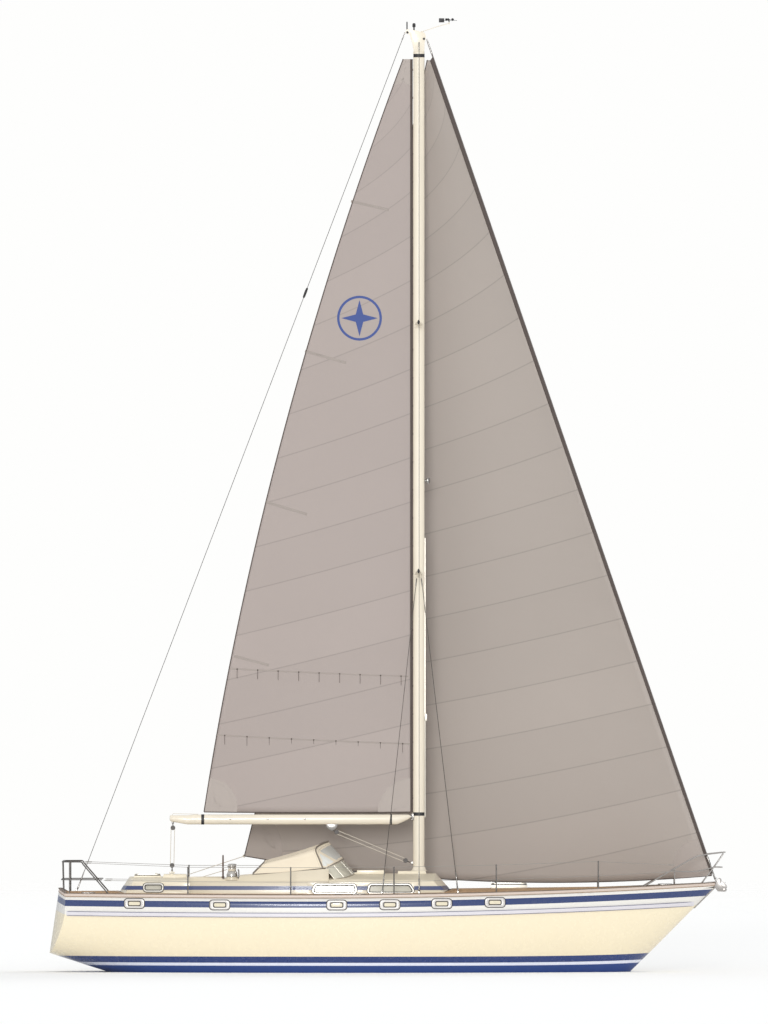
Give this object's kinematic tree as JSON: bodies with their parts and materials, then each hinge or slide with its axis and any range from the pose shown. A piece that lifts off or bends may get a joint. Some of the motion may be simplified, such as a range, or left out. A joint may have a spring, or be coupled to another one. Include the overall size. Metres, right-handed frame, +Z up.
{
  "type": "sailing yacht",
  "caption": "Centre-cockpit cruising sloop with mainsail and genoa set, fin keel, skeg-hung rudder, wheel steering and sprayhood.",
  "frame": {"origin": "amidships on the waterline, on the centreline", "axes": "+X towards the bow, +Y to port, +Z up along the mast"},
  "size_m": [12.699, 3.9338, 19.716],
  "materials": {
    "topsides": "glossy moulded gelcoat, cream with blue stripes and blue antifouling below",
    "gelcoat": "semi-gloss cream gelcoat",
    "deck": "laid teak with dark seams, weathered",
    "teak": "weathered teak",
    "antifouling": "matt blue antifouling paint",
    "bronze": "dull marine bronze",
    "engine": "painted cast iron block",
    "steel": "polished stainless steel",
    "wire": "stranded stainless wire",
    "spar": "satin painted alloy",
    "sailcloth": "woven sailcloth with sewn panels",
    "canvas": "acrylic canvas",
    "glass": "smoked toughened glass",
    "tinted_acrylic": "smoked acrylic"
  },
  "bodies": {
    "hull": {"hull": "topsides", "deck": "deck", "fin_keel": "antifouling", "skeg": "antifouling", "shaft_bracket": "bronze", "engine": "engine", "toe_rail": "teak", "coachroof": "gelcoat", "aft_cabin_top": "gelcoat", "cockpit": "gelcoat", "hatch_garage": "gelcoat", "washboard": "teak", "forehatch_frame": "gelcoat", "mainsheet_traveller": "gelcoat", "windscreen": "glass", "sprayhood": "canvas", "steering_pedestal": "gelcoat", "pulpit": "steel", "pushpit": "steel", "stem_fitting": "steel", "mast": "spar", "masthead": "spar", "pole_track": "spar", "genoa": "sailcloth", "forestay": "wire", "backstay": "wire", "saloon_window_aft_port": "glass", "saloon_window_fore_port": "glass", "aft_cabin_window_port": "glass", "rubbing_strake_port": "gelcoat", "guardrail_port": "steel", "cap_shroud_port": "wire", "fore_lower_shroud_port": "wire", "aft_lower_shroud_port": "wire", "saloon_window_aft_starboard": "glass", "saloon_window_fore_starboard": "glass", "aft_cabin_window_starboard": "glass", "rubbing_strake_starboard": "gelcoat", "guardrail_starboard": "steel", "cap_shroud_starboard": "wire", "fore_lower_shroud_starboard": "wire", "aft_lower_shroud_starboard": "wire"},
    "rudder": {"rudder": "antifouling"},
    "propeller": {"propeller": "bronze"},
    "steering_wheel": {"steering_wheel": "steel"},
    "boom": {"boom": "spar", "mainsail": "sailcloth"},
    "companionway_hatch": {"companionway_hatch": "tinted_acrylic"},
    "forehatch_lid": {"forehatch_lid": "gelcoat"},
    "aft_hatch_lid": {"aft_hatch_lid": "gelcoat"},
    "locker_lid_port": {"locker_lid_port": "teak"},
    "locker_lid_starboard": {"locker_lid_starboard": "teak"},
    "winch_drum_port": {"winch_drum_port": "steel"},
    "winch_drum_starboard": {"winch_drum_starboard": "steel"},
    "wind_vane": {"wind_vane": "steel"}
  },
  "joints": [
    {"name": "rudder_steer", "type": "hinge", "parent": "hull", "child": "rudder", "pos_m": [-4.35, 0, -0.2], "axis": [0, 0, 1], "range_deg": [-35, 35]},
    {"name": "wheel_turn", "type": "hinge", "parent": "hull", "child": "steering_wheel", "pos_m": [-2.736, 0, 1.744], "axis": [1, 0, 0], "range_deg": [-350, 350]},
    {"name": "propeller_spin", "type": "hinge", "parent": "hull", "child": "propeller", "pos_m": [-3.35, 0, -0.76], "axis": [0.9903, 0, 0.1392], "continuous": true},
    {"name": "boom_swing", "type": "hinge", "parent": "hull", "child": "boom", "pos_m": [0.8, 0, 2.852], "axis": [0, 0, 1], "range_deg": [-28, 60]},
    {"name": "companionway_hatch_slide", "type": "slide", "parent": "hull", "child": "companionway_hatch", "axis": [1, 0, 0], "range_m": [0, 0.46]},
    {"name": "forehatch_open", "type": "hinge", "parent": "hull", "child": "forehatch_lid", "pos_m": [2.959, 0, 1.629], "axis": [0, 1, 0], "range_deg": [0, 105]},
    {"name": "aft_hatch_open", "type": "hinge", "parent": "hull", "child": "aft_hatch_lid", "pos_m": [-3.906, 0, 1.805], "axis": [0, 1, 0], "range_deg": [0, 95]},
    {"name": "locker_port_open", "type": "hinge", "parent": "hull", "child": "locker_lid_port", "pos_m": [-1.7, 0.894, 1.15], "axis": [-1, 0, 0], "range_deg": [0, 80]},
    {"name": "locker_starboard_open", "type": "hinge", "parent": "hull", "child": "locker_lid_starboard", "pos_m": [-1.7, -0.894, 1.15], "axis": [1, 0, 0], "range_deg": [0, 80]},
    {"name": "winch_spin_port", "type": "hinge", "parent": "hull", "child": "winch_drum_port", "pos_m": [-2.567, 1.055, 1.85], "axis": [0, 0, 1], "continuous": true},
    {"name": "winch_spin_starboard", "type": "hinge", "parent": "hull", "child": "winch_drum_starboard", "pos_m": [-2.567, -1.055, 1.85], "axis": [0, 0, 1], "continuous": true},
    {"name": "wind_vane_spin", "type": "hinge", "parent": "hull", "child": "wind_vane", "pos_m": [1.5, 0, 17.8], "axis": [0, 0, 1], "continuous": true}
  ],
  "couplings": [
    {"joint": "wheel_turn", "follows": "rudder_steer", "ratio": -10}
  ]
}
